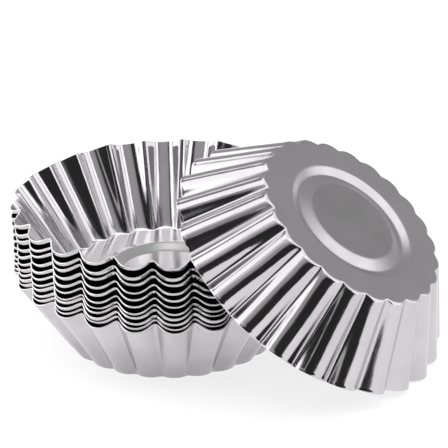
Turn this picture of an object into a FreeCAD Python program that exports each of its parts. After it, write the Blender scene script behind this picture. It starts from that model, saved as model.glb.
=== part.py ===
import FreeCAD, Part
import math
import os

# A set of twelve fluted tart pans (egg-tart tins), each one pressed from a
# single disc of thin sheet metal.  Eleven stand nested in one another with
# their mouths up; the twelfth is upside down, leaning on the stack, with its
# lowest lobes on the table and its raised side over the rim of the top pan.
# Frame: millimetres, +Z up, origin on the table at the centre of the bottom
# pan's base.

# ---- one pan ---------------------------------------------------------------
FLUTES = 24            # flutes round the wall
SHEET = 0.20           # sheet thickness
RIM_GROOVE_R = 33.0    # rim radius at the bottom of a groove
RIM_LOBE_R = 35.0      # rim radius at the crown of a lobe
BASE_GROOVE_R = 22.3   # radius of the base at a groove
BASE_LOBE_R = 23.0     # radius of the base at a lobe
DEPTH = 18.1           # height of the rim at a groove
RIM_DIP = 1.40         # the rim is this much lower at the crown of a lobe
LOBE_POWER = 2.3       # shape of a lobe: 2 is a parabola, higher is fuller
GROOVE_SOFT = 0.20     # share of half a flute over which the groove is rounded

# ring pressed up into the middle of the base, as seen from outside a channel
RING_OUTER_R = 15.7
RING_CREST_R = 13.7
RING_INNER_R = 10.6
RING_DEPTH = 1.0

# ---- the stack -------------------------------------------------------------
# height of each nested pan above the one below it, from the bottom up
PITCH = [1.04, 1.20, 1.30, 1.04, 1.40, 1.66, 1.56, 1.87, 1.46, 2.00]
# the stack leans back a little: sideways steps from the bottom up
STEP_X = [0.00, 0.00, 0.00, -0.03, 0.00, -0.03, -0.05, -0.10, -0.10, -0.13]
STEP_Y = [0.03, 0.08, 0.12, 0.03, 0.16, 0.26, 0.22, 0.31, 0.18, 0.32]
# turn of the flute pattern, degrees (angle of one groove)
GROOVE_ANGLE = 9.6

# ---- the leaning pan -------------------------------------------------------
LEAN_BASE = (40.18, -16.36, 34.6)      # centre of its base
LEAN_NORMAL = (0.55467, -0.24067, 0.79651)   # outward normal of its base
LEAN_GROOVE_DIR = (-0.82602, -0.27449, 0.49228)   # roughly towards one of its grooves

# each flute is made of flat facets, between these shares of its width
FACET_AT = [0.0, 0.13, 0.37, 0.63, 0.87]


def lobe(phase):
    """0 at the bottom of a groove, 1 at the crown of a lobe; phase runs 0 to 1 over a flute."""
    x = abs((phase % 1.0) * 2.0 - 1.0)      # 0 at the crown, 1 in the groove
    s = GROOVE_SOFT
    y = math.sqrt((1.0 - x) ** 2 + s * s) - s   # softened distance from the groove
    y = y / (math.sqrt(1.0 + s * s) - s)
    return 1.0 - (1.0 - y) ** LOBE_POWER


def outer(phase, t):
    """A point of the outer skin: phase counts flutes, t from 0 at the base to 1 at the rim."""
    a = 2 * math.pi * phase / FLUTES
    u = lobe(phase)
    rg = BASE_GROOVE_R + (RIM_GROOVE_R - BASE_GROOVE_R) * t
    rl = BASE_LOBE_R + (RIM_LOBE_R - BASE_LOBE_R) * t
    r = rg + (rl - rg) * u
    z = t * (DEPTH - RIM_DIP * u)
    return FreeCAD.Vector(r * math.cos(a), r * math.sin(a), z)


def inset(points, d):
    """Moves a closed outline in by d in plan, keeping each point's height."""
    out = []
    n = len(points)
    for k in range(n):
        p, q, r = points[k - 1], points[k], points[(k + 1) % n]
        n1 = FreeCAD.Vector(q.y - p.y, p.x - q.x, 0)
        n2 = FreeCAD.Vector(r.y - q.y, q.x - r.x, 0)
        n1.normalize()
        n2.normalize()
        out.append(q.sub((n1 + n2) * (d / (1.0 + n1.dot(n2)))))
    return out


def wall_outlines():
    """The wall's outlines: outer and inner, at the base and at the rim."""
    phases = [k + f for k in range(FLUTES) for f in FACET_AT]
    o0 = [outer(f, 0.0) for f in phases]
    o1 = [outer(f, 1.0) for f in phases]
    slope = math.atan2(RIM_GROOVE_R - BASE_GROOVE_R, DEPTH)
    d = SHEET / math.cos(slope)
    i1 = inset(o1, d)
    i0 = []
    for p, q in zip(inset(o0, d), i1):
        i0.append(p.add(q.sub(p) * (SHEET / q.z)))   # up along the wall to the base's upper face
    for p in i0:
        p.z = SHEET
    return o0, o1, i0, i1


def facets(lower, upper):
    """Triangles between two closed outlines with the same number of points."""
    faces = []
    n = len(lower)
    for k in range(n):
        a, b, c, d = lower[k], lower[(k + 1) % n], upper[(k + 1) % n], upper[k]
        for tri in ((a, b, c), (a, c, d)):
            faces.append(Part.Face(Part.makePolygon([*tri, tri[0]])))
    return faces


def cone_faces(z):
    """The pressed ring and the disc inside it, as one skin at height z."""
    rs = [(RING_OUTER_R, z), (RING_CREST_R, z + RING_DEPTH), (RING_INNER_R, z)]
    faces = []
    for (ra, za), (rb, zb) in zip(rs, rs[1:]):
        e = Part.makeLine(FreeCAD.Vector(ra, 0, za), FreeCAD.Vector(rb, 0, zb))
        faces += e.revolve(FreeCAD.Vector(0, 0, 0), FreeCAD.Vector(0, 0, 1), 360).Faces
    disc = Part.Wire(Part.makeCircle(RING_INNER_R, FreeCAD.Vector(0, 0, z)))
    faces.append(Part.Face(disc))
    return faces


def make_pan():
    o0, o1, i0, i1 = wall_outlines()
    faces = facets(o0, o1) + facets(i0, i1) + facets(o1, i1)
    for outline, z in ((o0, 0.0), (i0, SHEET)):
        hole = Part.Wire(Part.makeCircle(RING_OUTER_R, FreeCAD.Vector(0, 0, z)))
        plane = Part.Face(Part.makePolygon([*outline, outline[0]]))
        faces += plane.cut(Part.Face(hole)).Faces
        faces += cone_faces(z)
    shape = Part.Shell(faces)
    shape.sewShape(1e-4)
    shell = shape if shape.ShapeType == "Shell" else shape.Shells[0]
    solid = Part.Solid(shell)
    if solid.Volume < 0:
        solid.reverse()
    return solid


def placed(pan, x, y, z, turn):
    s = pan.copy()
    s.rotate(FreeCAD.Vector(0, 0, 0), FreeCAD.Vector(0, 0, 1), turn)
    s.translate(FreeCAD.Vector(x, y, z))
    return s


def lean_placement():
    """The leaning pan: its own +z (base to rim) points along minus LEAN_NORMAL."""
    down = FreeCAD.Vector(*LEAN_NORMAL)
    down.normalize()
    down = down * -1.0
    gx = FreeCAD.Vector(*LEAN_GROOVE_DIR)
    gx = gx.sub(down * gx.dot(down))
    gx.normalize()
    gy = down.cross(gx)
    m = FreeCAD.Matrix(
        gx.x, gy.x, down.x, LEAN_BASE[0],
        gx.y, gy.y, down.y, LEAN_BASE[1],
        gx.z, gy.z, down.z, LEAN_BASE[2],
        0, 0, 0, 1,
    )
    return FreeCAD.Placement(m)


def main():
    os.makedirs("parts", exist_ok=True)
    pan = make_pan()
    print("pan valid", pan.isValid(), "volume", round(pan.Volume, 1), "mm3", "faces", len(pan.Faces))
    names = ["bottom_pan"] + ["nested_pan_%02d" % i for i in range(2, 11)] + ["top_pan"]
    x = y = z = 0.0
    for i, name in enumerate(names):
        if i:
            x, y, z = x + STEP_X[i - 1], y + STEP_Y[i - 1], z + PITCH[i - 1]
        placed(pan, x, y, z, GROOVE_ANGLE).exportStep("parts/%s.step" % name)
        print(name, "offset", round(x, 3), round(y, 3), round(z, 3))
    lean = pan.copy()
    lean.Placement = lean_placement().multiply(lean.Placement)
    lean.exportStep("parts/leaning_pan.step")
    b = lean.BoundBox
    print("leaning_pan box", [round(v, 2) for v in (b.XMin, b.YMin, b.ZMin, b.XMax, b.YMax, b.ZMax)])


main()
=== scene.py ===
import math

import bpy
import numpy as np
from mathutils import Matrix, Vector


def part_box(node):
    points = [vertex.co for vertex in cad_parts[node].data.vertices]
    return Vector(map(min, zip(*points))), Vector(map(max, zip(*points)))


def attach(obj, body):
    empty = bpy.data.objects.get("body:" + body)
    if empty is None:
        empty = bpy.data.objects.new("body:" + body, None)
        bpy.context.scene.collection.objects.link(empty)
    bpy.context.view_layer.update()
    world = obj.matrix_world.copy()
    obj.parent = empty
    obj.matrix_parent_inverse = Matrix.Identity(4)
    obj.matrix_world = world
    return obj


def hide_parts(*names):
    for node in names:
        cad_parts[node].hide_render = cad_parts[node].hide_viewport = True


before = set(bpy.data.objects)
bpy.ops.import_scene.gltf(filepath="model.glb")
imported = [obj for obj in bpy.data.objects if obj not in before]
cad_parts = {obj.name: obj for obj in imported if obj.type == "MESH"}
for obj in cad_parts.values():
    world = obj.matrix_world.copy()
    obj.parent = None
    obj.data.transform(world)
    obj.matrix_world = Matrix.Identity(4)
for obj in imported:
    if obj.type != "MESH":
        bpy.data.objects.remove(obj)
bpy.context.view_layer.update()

MM = 0.001

# ---------------------------------------------------------------- the pan
FLUTES = 24
SHEET = 0.20
RIM_GROOVE_R = 33.0
RIM_LOBE_R = 35.0
BASE_GROOVE_R = 22.2
BASE_LOBE_R = 23.2
DEPTH = 18.1
RIM_DIP = 1.40
LOBE_POWER = 2.3
GROOVE_SOFT = 0.18
RING_OUTER_R = 15.7
RING_CREST_R = 13.7
RING_INNER_R = 10.6
RING_DEPTH = 1.0
CORNER_R = 0.85          # outside radius where the wall is drawn out of the base
HEM = 0.17               # the rolled edge stands out from the wall by this much
GROOVE_ANGLE = 9.6

LEAN_BASE = (40.18, -16.36, 34.60)
LEAN_NORMAL = (0.55467, -0.24067, 0.79651)
LEAN_GROOVE_DIR = (-0.82602, -0.27449, 0.49228)

STACK = ["bottom_pan"] + ["nested_pan_%02d" % i for i in range(2, 11)] + ["top_pan"]


def lobe(phase, soft=GROOVE_SOFT, power=LOBE_POWER):
    """0 in a groove, 1 at the crown of a lobe."""
    x = np.abs((phase % 1.0) * 2.0 - 1.0)
    y = np.sqrt((1.0 - x) ** 2 + soft * soft) - soft
    y = y / (math.sqrt(1.0 + soft * soft) - soft)
    return 1.0 - (1.0 - y) ** power


def smooth(x):
    x = np.clip(x, 0.0, 1.0)
    return x * x * (3.0 - 2.0 * x)


def ring_height(r):
    """The pressed ring of the base: a shallow V channel with rounded bends."""
    def ramp(x, k):                        # rounded max(x, 0)
        return 0.5 * (x + np.sqrt(x * x + k * k))
    up = RING_DEPTH / (RING_CREST_R - RING_INNER_R)
    down = RING_DEPTH / (RING_OUTER_R - RING_CREST_R)
    z = (up * ramp(r - RING_INNER_R, 0.22) - (up + down) * ramp(r - RING_CREST_R, 0.16)
         + down * ramp(r - RING_OUTER_R, 0.20))
    return z


def waves(rng, count, kmin, kmax):
    """A few seeded waves round the pan and up its wall, for the unevenness of pressed sheet."""
    k = rng.integers(kmin, kmax, count)
    return np.stack([k, rng.uniform(-3.0, 3.0, count), rng.uniform(0, 2 * math.pi, count),
                     rng.normal(0, 1, count) / np.sqrt(count)], 1)


def wave_field(w, a, s):
    out = np.zeros(np.broadcast(a, s).shape)
    for k, m, p, amp in w:
        out += amp * np.sin(k * a + m * math.pi * s + p)
    return out


def pan_mesh(name, seed, turn, per_flute=20, rough=0.02, hem=HEM, trim=1.0):
    """One pan, base centre at the origin, turned by the 3x3 matrix; "pan_co" keeps its own frame (m)."""
    rng = np.random.default_rng(seed)
    x = np.arange(FLUTES * per_flute) / per_flute
    f = x - 0.55 * np.sin(2 * math.pi * x) / (2 * math.pi)      # closer rows in the grooves
    a = 2 * math.pi * f / FLUTES
    # flutes of a pressed pan aren't all alike
    nf = FLUTES
    jit = rng.normal(0, 1, nf)
    jit2 = rng.normal(0, 1, nf)
    idx = np.floor(f).astype(int) % nf
    frac = f - np.floor(f)
    blend = 0.5 - 0.5 * np.cos(2 * math.pi * frac)
    depth = 1.0 + 0.02 * jit[idx] * blend
    u = lobe(f) * depth
    rb = BASE_GROOVE_R + (BASE_LOBE_R - BASE_GROOVE_R) * u
    rr = RIM_GROOVE_R + (RIM_LOBE_R - RIM_GROOVE_R) * u
    zr = DEPTH - RIM_DIP * u + 0.05 * jit2[idx] * blend + 0.04 * np.sin(2 * a + rng.uniform(0, 6))
    psi = np.arctan2(zr, rr - rb)
    corner = CORNER_R * (0.7 + 0.8 * u)                  # softer over the lobes than in the grooves
    tl = corner * np.tan(psi / 2)
    rows_r, rows_z, rows_s = [], [], []
    # base: disc, ring, annulus
    flat_end = rb - tl
    for r0 in list(np.linspace(0.6, 9.2, 5)) + list(np.linspace(9.9, 16.6, 40)):
        rows_r.append(np.full_like(a, r0)); rows_z.append(ring_height(rows_r[-1])); rows_s.append(-1.0)
    for k in (0.25, 0.5, 0.75, 0.92):
        rows_r.append(16.6 + (flat_end - 16.6) * k); rows_z.append(ring_height(rows_r[-1])); rows_s.append(-1.0)
    # rounded corner
    for k in np.linspace(0.0, 1.0, 7):
        th = psi * k
        rows_r.append(rb - tl + corner * np.sin(th)); rows_z.append(corner * (1 - np.cos(th))); rows_s.append(-0.5 * (1 - k))
    # wall
    w0r, w0z = rows_r[-1].copy(), rows_z[-1].copy()
    length = np.hypot(rr - w0r, zr - w0z)
    dr, dz = (rr - w0r) / length, (zr - w0z) / length
    below = [1.5, 1.3, 1.1, 0.95, 0.8, 0.65, 0.5, 0.38, 0.27, 0.17, 0.08, 0.0]      # mm under the rim
    for t in np.linspace(0, 1, 15)[1:]:
        rows_r.append(w0r + dr * (length - 1.7) * t)
        rows_z.append(w0z + dz * (length - 1.7) * t)
        rows_s.append(float(t) * 0.9)
    # the edge isn't trimmed quite level
    cut = trim * (rng.uniform(-0.06, 0.06) + 0.17 * wave_field(waves(rng, 7, 1, 9), a, 0.0))
    cut = np.clip(cut, -0.28, 0.28)
    for d in below:
        dd = d - cut * (1.0 - d / 1.7)
        rows_r.append(w0r + dr * (length - dd)); rows_z.append(w0z + dz * (length - dd))
        rows_s.append(1.0 - d * 0.05)
    R, Z = np.array(rows_r), np.array(rows_z)
    S = np.array(rows_s)[:, None]
    A = np.broadcast_to(a, R.shape)
    O = np.stack([R * np.cos(A), R * np.sin(A), Z], -1)

    def normals(P):
        da = np.roll(P, -1, 1) - np.roll(P, 1, 1)
        ds = np.empty_like(P)
        ds[1:-1] = P[2:] - P[:-2]; ds[0] = P[1] - P[0]; ds[-1] = P[-1] - P[-2]
        n = np.cross(da, ds)
        return n / np.linalg.norm(n, axis=-1, keepdims=True)

    N = normals(O)                                   # points out of the pan
    on_wall = smooth((S + 0.1) / 0.3) * (1.0 - 0.6 * smooth((S - 0.9) / 0.1))
    wob = wave_field(waves(rng, 14, 2, 40), A, S) * on_wall * rough
    sag = wave_field(waves(rng, 6, 1, 5), A, np.clip(R / 22.0, 0, 1)) * (R < 21.0) * 0.012 * smooth((21.0 - R) / 3.0)
    O = O + N * (wob + sag)[..., None]
    N = normals(O)
    I = O - N * SHEET
    rows, n = O.shape[0], O.shape[1]
    # the edge is rolled down a little on the outside, more in some places than in others
    hem_w = rng.uniform(0.2, 0.8) + 0.22 * wave_field(waves(rng, 8, 1, 20), a, 0.0)
    hem_h = hem * rng.uniform(0.8, 1.3) * (1.0 + 0.3 * wave_field(waves(rng, 8, 1, 30), a, 0.0))
    for q, d in enumerate(below):
        k = rows - len(below) + q
        h = hem_h * smooth((hem_w + 0.55 - d) / 0.5) * (0.45 + 0.55 * smooth(d / np.maximum(hem_w, 0.15)))
        O[k] = O[k] + N[k] * h[:, None]
    mid = 0.5 * (O[-1] + I[-1]) + (I[-1] - I[-3]) / np.linalg.norm(I[-1] - I[-3], axis=-1, keepdims=True) * 0.04
    layers = np.concatenate([O, mid[None], I[::-1]])
    verts = layers.reshape(-1, 3)
    m = layers.shape[0]
    j = np.arange(n); jn = (j + 1) % n
    faces = []
    i = np.arange(m - 1)[:, None]
    quads = np.stack(np.broadcast_arrays(i * n + j, i * n + jn, (i + 1) * n + jn, (i + 1) * n + j), -1).reshape(-1, 4)
    pole_o = len(verts); pole_i = pole_o + 1
    verts = np.concatenate([verts, [[0, 0, O[0, :, 2].mean()], [0, 0, I[0, :, 2].mean()]]])
    tri_o = np.stack([np.full(n, pole_o), jn, j], 1)
    last = (m - 1) * n
    tri_i = np.stack([np.full(n, pole_i), last + j, last + jn], 1)
    me = bpy.data.meshes.new(name)
    me.vertices.add(len(verts))
    me.vertices.foreach_set("co", (verts @ np.array(turn).T * MM).astype(np.float32).ravel())
    loops = np.concatenate([quads.ravel(), tri_o.ravel(), tri_i.ravel()]).astype(np.int32)
    counts = np.concatenate([np.full(len(quads), 4), np.full(2 * n, 3)])
    starts = np.concatenate([[0], np.cumsum(counts)[:-1]]).astype(np.int32)
    me.loops.add(len(loops)); me.loops.foreach_set("vertex_index", loops)
    me.polygons.add(len(counts)); me.polygons.foreach_set("loop_start", starts)
    me.update(calc_edges=True)
    me.validate()
    me.polygons.foreach_set("use_smooth", np.ones(len(me.polygons), dtype=bool))
    # masks for the material: how far up the wall, and the trimmed edge
    srow = np.concatenate([S[:, 0], [1.0], S[::-1, 0]])
    edge = np.zeros(m); edge[rows] = 1.0; edge[rows - 1] = 0.5; edge[rows + 1] = 0.5
    inner = np.zeros(m); inner[rows + 1:] = 1.0
    for label, vals in (("wall", srow), ("edge", edge), ("inner", inner)):
        at = me.attributes.new(label, "FLOAT", "POINT")
        v = np.concatenate([np.repeat(vals, n), [vals[0], vals[-1]]]).astype(np.float32)
        at.data.foreach_set("value", v)
    at = me.attributes.new("pan_co", "FLOAT_VECTOR", "POINT")
    at.data.foreach_set("vector", (verts * MM).astype(np.float32).ravel())
    return me


# ---------------------------------------------------------------- materials
def node(nt, kind, loc=(0, 0), **props):
    n = nt.nodes.new(kind); n.location = loc
    for k, v in props.items():
        setattr(n, k, v)
    return n


def math_node(nt, op, a, b=None, c=None, clamp=False):
    n = nt.nodes.new("ShaderNodeMath"); n.operation = op; n.use_clamp = clamp
    for i, v in enumerate((a, b, c)):
        if v is None:
            continue
        if isinstance(v, (int, float)):
            n.inputs[i].default_value = v
        else:
            nt.links.new(v, n.inputs[i])
    return n.outputs[0]


def range_node(nt, v, a, b, c=0.0, d=1.0, kind="SMOOTHSTEP"):
    n = nt.nodes.new("ShaderNodeMapRange"); n.interpolation_type = kind
    nt.links.new(v, n.inputs["Value"])
    n.inputs["From Min"].default_value = a; n.inputs["From Max"].default_value = b
    n.inputs["To Min"].default_value = c; n.inputs["To Max"].default_value = d
    return n.outputs[0]


def mix_colour(nt, fac, a, b):
    n = nt.nodes.new("ShaderNodeMix"); n.data_type = "RGBA"
    for sock, v in ((n.inputs[0], fac), (n.inputs[6], a), (n.inputs[7], b)):
        if isinstance(v, (int, float)):
            sock.default_value = v
        elif isinstance(v, tuple):
            sock.default_value = v + (1.0,)
        else:
            nt.links.new(v, sock)
    return n.outputs[2]


# the last argument sets how strongly painted shade darkens the wall where it leaves the base
def pan_material(name, wall_rough=0.10, base_rough=0.30, offset=0.0, painted_shade_amount=0.12):
    mat = bpy.data.materials.new(name); mat.use_nodes = True
    nt = mat.node_tree; nt.nodes.clear()
    out = node(nt, "ShaderNodeOutputMaterial"); bs = node(nt, "ShaderNodeBsdfPrincipled")
    nt.links.new(bs.outputs[0], out.inputs[0])
    bs.inputs["Metallic"].default_value = 1.0
    tc = node(nt, "ShaderNodeAttribute", attribute_name="pan_co")
    wall = node(nt, "ShaderNodeAttribute", attribute_name="wall").outputs["Fac"]
    edge = node(nt, "ShaderNodeAttribute", attribute_name="edge").outputs["Fac"]
    inner = node(nt, "ShaderNodeAttribute", attribute_name="inner").outputs["Fac"]
    sep = node(nt, "ShaderNodeSeparateXYZ"); nt.links.new(tc.outputs["Vector"], sep.inputs[0])
    # polar coordinates of the pan
    rad = math_node(nt, "SQRT", math_node(nt, "ADD", math_node(nt, "MULTIPLY", sep.outputs[0], sep.outputs[0]),
                                          math_node(nt, "MULTIPLY", sep.outputs[1], sep.outputs[1])))
    is_wall = range_node(nt, wall, -0.35, 0.03)
    mp = node(nt, "ShaderNodeMapping"); nt.links.new(tc.outputs["Vector"], mp.inputs[0])
    mp.inputs["Location"].default_value = (offset, offset * 0.37, offset * 0.71)
    # cloudy rolling haze, fine grain of the sheet, drawing lines up the wall
    haze = node(nt, "ShaderNodeTexNoise"); haze.inputs["Scale"].default_value = 90; haze.inputs["Detail"].default_value = 4
    nt.links.new(mp.outputs[0], haze.inputs["Vector"])
    grain = node(nt, "ShaderNodeTexNoise"); grain.inputs["Scale"].default_value = 2600; grain.inputs["Detail"].default_value = 3
    nt.links.new(mp.outputs[0], grain.inputs["Vector"])
    ang = math_node(nt, "ARCTAN2", sep.outputs[1], sep.outputs[0])
    lines_v = node(nt, "ShaderNodeCombineXYZ")
    nt.links.new(math_node(nt, "MULTIPLY", ang, 1.0), lines_v.inputs[0])
    nt.links.new(math_node(nt, "MULTIPLY", sep.outputs[2], 6.0), lines_v.inputs[1])
    lines_v.inputs[2].default_value = offset
    lines = node(nt, "ShaderNodeTexNoise"); lines.inputs["Scale"].default_value = 55; lines.inputs["Detail"].default_value = 3
    nt.links.new(lines_v.outputs[0], lines.inputs["Vector"])
    # roughness
    base_r = range_node(nt, haze.outputs[0], 0.3, 0.7, base_rough - 0.05, base_rough + 0.05)
    wall_r = range_node(nt, lines.outputs[0], 0.3, 0.7, wall_rough - 0.025, wall_rough + 0.035)
    mixr = node(nt, "ShaderNodeMix"); mixr.data_type = "FLOAT"
    base_r = math_node(nt, "SUBTRACT", base_r, math_node(nt, "MULTIPLY", inner, 0.13))
    nt.links.new(is_wall, mixr.inputs[0]); nt.links.new(base_r, mixr.inputs[2]); nt.links.new(wall_r, mixr.inputs[3])
    r2 = math_node(nt, "ADD", mixr.outputs[0], math_node(nt, "MULTIPLY", edge, 0.18))
    nt.links.new(r2, bs.inputs["Roughness"])
    # colour: bright sheet, a little warmer and duller in the haze
    c1 = mix_colour(nt, range_node(nt, haze.outputs[0], 0.35, 0.75), (0.615, 0.60, 0.615), (0.55, 0.535, 0.55))
    disc = math_node(nt, "MULTIPLY", range_node(nt, rad, 0.0103, 0.0107, 1.0, 0.0), math_node(nt, "SUBTRACT", 1.0, inner))
    c1 = mix_colour(nt, math_node(nt, "MULTIPLY", disc, 0.5), c1, (0.42, 0.41, 0.42))
    # painted shade: the wall darker where it leaves the base, for the shaded floor it reflects there; painted light:
    # the cut edge and the inside of the base brighter, for the light they catch from above
    # painted shade mask: darker towards the base, patchy with the haze noise
    painted_shade_mask = math_node(nt, "MULTIPLY", range_node(nt, wall, 0.75, -0.05), range_node(nt, haze.outputs[0], 0.2, 0.8, 0.75, 1.0))
    painted_shade_mask = math_node(nt, "MULTIPLY", math_node(nt, "MULTIPLY", painted_shade_mask, is_wall), painted_shade_amount)
    c1 = mix_colour(nt, painted_shade_mask, c1, (0.33, 0.315, 0.335))
    # painted light: the inside face of the base is coloured brighter than the outside, for the overhead light it
    # catches
    painted_light_inside = math_node(nt, "MULTIPLY", inner, math_node(nt, "SUBTRACT", 1.0, is_wall))
    c1 = mix_colour(nt, painted_light_inside, c1, (0.81, 0.795, 0.80))
    # painted highlight: the cut edge is coloured near white, for the overhead light it catches
    c1 = mix_colour(nt, math_node(nt, "MULTIPLY", edge, 0.95), c1, (0.95, 0.95, 0.95))
    nt.links.new(c1, bs.inputs["Base Color"])
    # bump
    b1 = node(nt, "ShaderNodeBump"); b1.inputs["Strength"].default_value = 0.035; b1.inputs["Distance"].default_value = 0.00002
    nt.links.new(grain.outputs[0], b1.inputs["Height"])
    b2 = node(nt, "ShaderNodeBump"); b2.inputs["Strength"].default_value = 0.12; b2.inputs["Distance"].default_value = 0.0001
    hl = math_node(nt, "MULTIPLY", lines.outputs[0], is_wall)
    nt.links.new(hl, b2.inputs["Height"]); nt.links.new(b1.outputs[0], b2.inputs["Normal"])
    nt.links.new(b2.outputs[0], bs.inputs["Normal"])
    return mat


# ---------------------------------------------------------------- the pans in place
def box_centre(nodename):
    lo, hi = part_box(nodename)
    return Vector(((lo[0] + hi[0]) / 2, (lo[1] + hi[1]) / 2, lo[2]))


metal = pan_material("bright_sheet")
# the satin bottom pan gets much stronger painted shade towards its base
satin = pan_material("satin_sheet", wall_rough=0.21, base_rough=0.32, offset=0.013, painted_shade_amount=0.85)
pans = {}


def add_pan(nm, me, at):
    ob = bpy.data.objects.new(nm + "_pressed", me)
    bpy.context.scene.collection.objects.link(ob)
    ob.data.materials.append(satin if nm == "bottom_pan" else metal)
    ob.location = at
    pans[nm] = ob


turn = Matrix.Rotation(math.radians(GROOVE_ANGLE), 3, "Z")
# the pans that sit closest to the one below have less of a burr, and are smoother
TIGHT = {"nested_pan_02": (0.07, 0.006), "nested_pan_05": (0.08, 0.006), "nested_pan_06": (0.12, 0.008)}
for i, nm in enumerate(STACK):
    burr, wobble = TIGHT.get(nm, (HEM, 0.012))
    me = pan_mesh(nm + "_sheet", 100 + i, turn, rough=wobble, hem=burr)
    add_pan(nm, me, box_centre(nm))

down = -Vector(LEAN_NORMAL).normalized()
gx = Vector(LEAN_GROOVE_DIR); gx = (gx - down * gx.dot(down)).normalized()
gy = down.cross(gx)
turn = Matrix((gx, gy, down)).transposed()
me = pan_mesh("leaning_pan_sheet", 7, turn, per_flute=24, rough=0.022, hem=0.03, trim=0.0)
add_pan("leaning_pan", me, Vector(LEAN_BASE) * MM)
bpy.context.view_layer.update()
for nm, ob in pans.items():
    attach(ob, nm)
    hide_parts(nm)

# ---------------------------------------------------------------- floor, light, camera
# panels of the light tent: turn from, turn to, rise from, rise to, brightness (, softness)
STUDIO = [(-200, -150, -8, 62, 0.40), (-150, -84, -8, 42, 1.70), (-80, -58, -8, 42, 1.85),
          (-150, -118, 42, 62, 0.30), (-118, -58, 42, 62, 1.55),
          (-58, 54, 38, 50, 0.42), (-58, 54, 50, 62, 0.85), (-30, -24, -8, 36, 0.6),
          (54, 72, -8, 62, 1.85), (76, 112, -8, 62, 1.45), (112, 200, -8, 62, 0.34),
          (-200, 200, 62, 72, 1.9), (-200, 200, 72, 100, 1.15)]
STUDIO_FILL = 0.03
def simple_mat(name, colour, rough=0.6, emit=None, strength=0.0):
    mat = bpy.data.materials.new(name); mat.use_nodes = True
    b = mat.node_tree.nodes["Principled BSDF"]
    b.inputs["Base Color"].default_value = colour + (1.0,)
    b.inputs["Roughness"].default_value = rough
    if emit:
        b.inputs["Emission Color"].default_value = emit + (1.0,)
        b.inputs["Emission Strength"].default_value = strength
    return mat


fme = bpy.data.meshes.new("floor")
s = 4.0
fme.from_pydata([(-s, -s, -0.0002), (s, -s, -0.0002), (s, s, -0.0002), (-s, s, -0.0002)], [], [(0, 1, 2, 3)])
floor = bpy.data.objects.new("floor", fme)
floor.data.materials.append(simple_mat("white_table", (0.34, 0.34, 0.34), 0.8, (1.0, 1.0, 1.0), 0.76))
bpy.context.scene.collection.objects.link(floor)

world = bpy.data.worlds.new("studio"); bpy.context.scene.world = world; world.use_nodes = True
nt = world.node_tree; nt.nodes.clear()
wo = node(nt, "ShaderNodeOutputWorld"); bg = node(nt, "ShaderNodeBackground"); nt.links.new(bg.outputs[0], wo.inputs[0])
wt = node(nt, "ShaderNodeTexCoord"); ws = node(nt, "ShaderNodeSeparateXYZ"); nt.links.new(wt.outputs["Generated"], ws.inputs[0])
# turn: 0 towards the front of the table, 90 to the right, 180 behind; rise: degrees above the table
w_turn = math_node(nt, "MULTIPLY", math_node(nt, "ARCTAN2", ws.outputs[0], math_node(nt, "MULTIPLY", ws.outputs[1], -1.0)), 57.29578)
w_rise = math_node(nt, "MULTIPLY", math_node(nt, "ARCSINE", ws.outputs[2]), 57.29578)


def panel(t0, t1, r0, r1, value, soft=3.0):
    """One soft-edged panel of the light tent, by turn and rise in degrees."""
    a = range_node(nt, w_turn, t0 - soft, t0 + soft)
    b = range_node(nt, w_turn, t1 - soft, t1 + soft, 1.0, 0.0)
    c = range_node(nt, w_rise, r0 - soft, r0 + soft)
    d = range_node(nt, w_rise, r1 - soft, r1 + soft, 1.0, 0.0)
    return math_node(nt, "MULTIPLY", math_node(nt, "MULTIPLY", a, b), math_node(nt, "MULTIPLY", math_node(nt, "MULTIPLY", c, d), value))


light = None
for args in STUDIO:
    p = panel(*args)
    light = p if light is None else math_node(nt, "ADD", light, p)
light = math_node(nt, "ADD", light, STUDIO_FILL)
nt.links.new(light, bg.inputs["Strength"])
bg.inputs["Color"].default_value = (1, 1, 1, 1)

# camera
RG = 0.033
DIST = 28.0 * RG
PITCH, ROLL = 0.4272566, -0.0141691
F_PX = 4094.50
T = Vector((-0.356599 * RG, 0.744506 * RG, DIST))
cp, sp = math.cos(PITCH), math.sin(PITCH)
right, fwd, dwn = Vector((1, 0, 0)), Vector((0, cp, -sp)), Vector((0, -sp, -cp))
cr, sr = math.cos(ROLL), math.sin(ROLL)
r2 = right * cr - dwn * sr
d2 = right * sr + dwn * cr
Rm = Matrix((r2, d2, fwd))                       # rows: right, down, forward
pos = -(Rm.transposed() @ T)
cam_data = bpy.data.cameras.new("camera"); cam = bpy.data.objects.new("camera", cam_data)
bpy.context.scene.collection.objects.link(cam)
cam_data.sensor_width = 36.0; cam_data.lens = F_PX * 36.0 / 448.0
cam_data.clip_start = 0.01; cam_data.clip_end = 20
up = -d2
mw = Matrix((( r2.x, up.x, -fwd.x, pos.x), (r2.y, up.y, -fwd.y, pos.y), (r2.z, up.z, -fwd.z, pos.z), (0, 0, 0, 1)))
cam.matrix_world = mw
bpy.context.scene.camera = cam

scene = bpy.context.scene
scene.view_settings.view_transform = "Standard"
scene.view_settings.look = "None"

bpy.context.view_layer.update()
